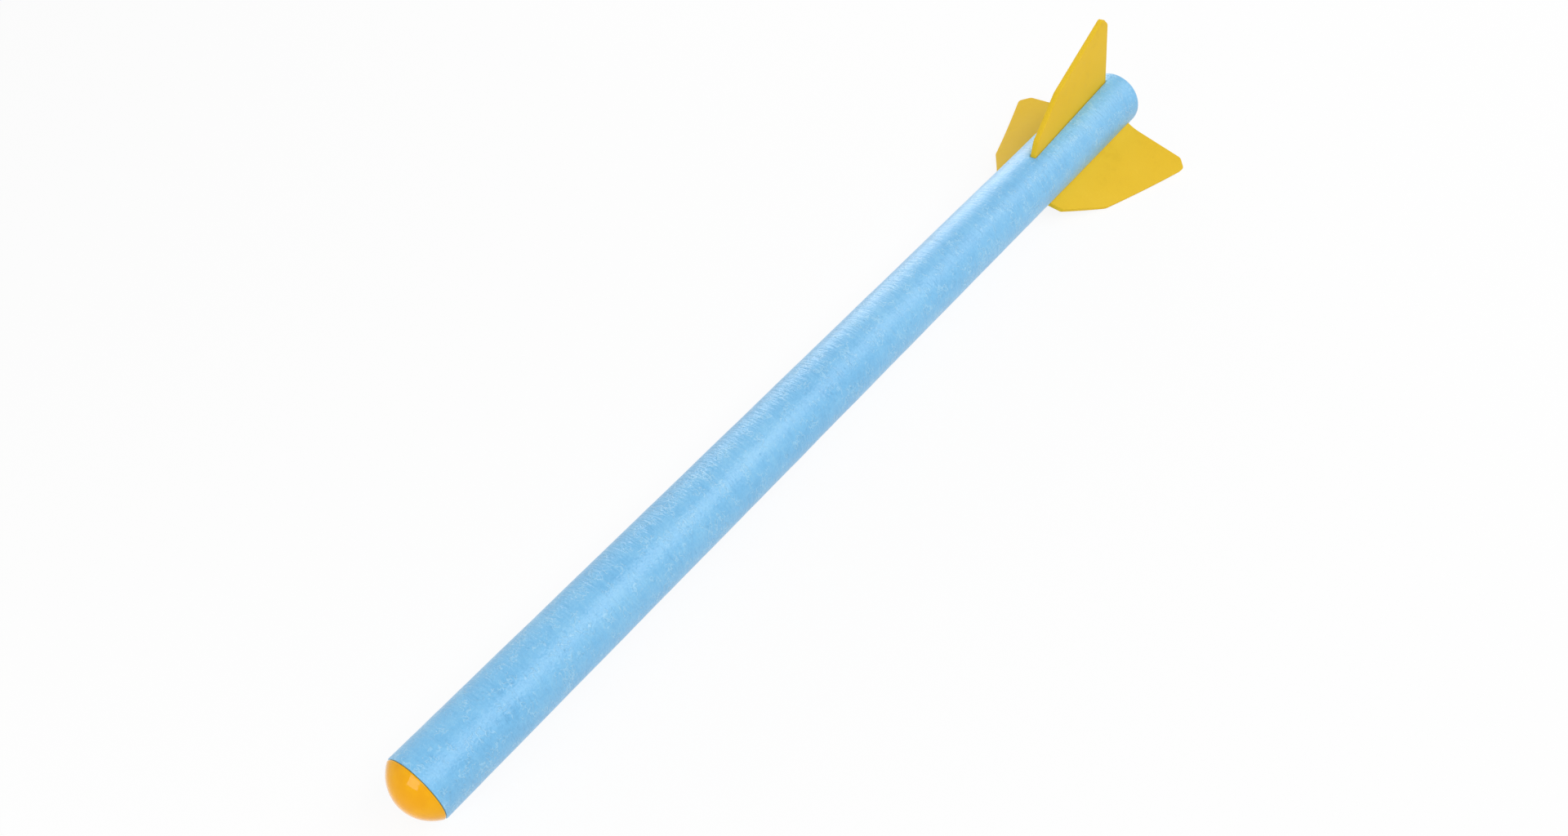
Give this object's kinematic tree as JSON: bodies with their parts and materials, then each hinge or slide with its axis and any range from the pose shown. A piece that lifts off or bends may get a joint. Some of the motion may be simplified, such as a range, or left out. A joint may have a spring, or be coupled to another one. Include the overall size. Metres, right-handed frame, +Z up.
{
  "type": "foam javelin",
  "caption": "Soft throwing javelin: a slender round foam shaft with a domed, weighted nose cap and thin canted fins set evenly round its tail.",
  "frame": {"origin": "on the floor that the lower fins touch, under the shaft's axis, halfway along the javelin", "axes": "+X along the shaft from nose to tail, +Y to the right when looking from the tail to the nose, +Z up"},
  "size_m": [0.9, 0.1753, 0.1247],
  "materials": {
    "foam_blue": "matte",
    "cap_orange": "gloss",
    "fin_yellow": "matte",
    "tube_grey": "satin",
    "slug_steel": "satin"
  },
  "bodies": {
    "root": {"foam_shaft": "foam_blue", "nose_cap": "cap_orange", "nose_weight": "slug_steel", "core_tube": "tube_grey", "tail_plug": "foam_blue", "fin_top": "fin_yellow", "fin_left": "fin_yellow", "fin_right": "fin_yellow"}
  },
  "joints": []
}
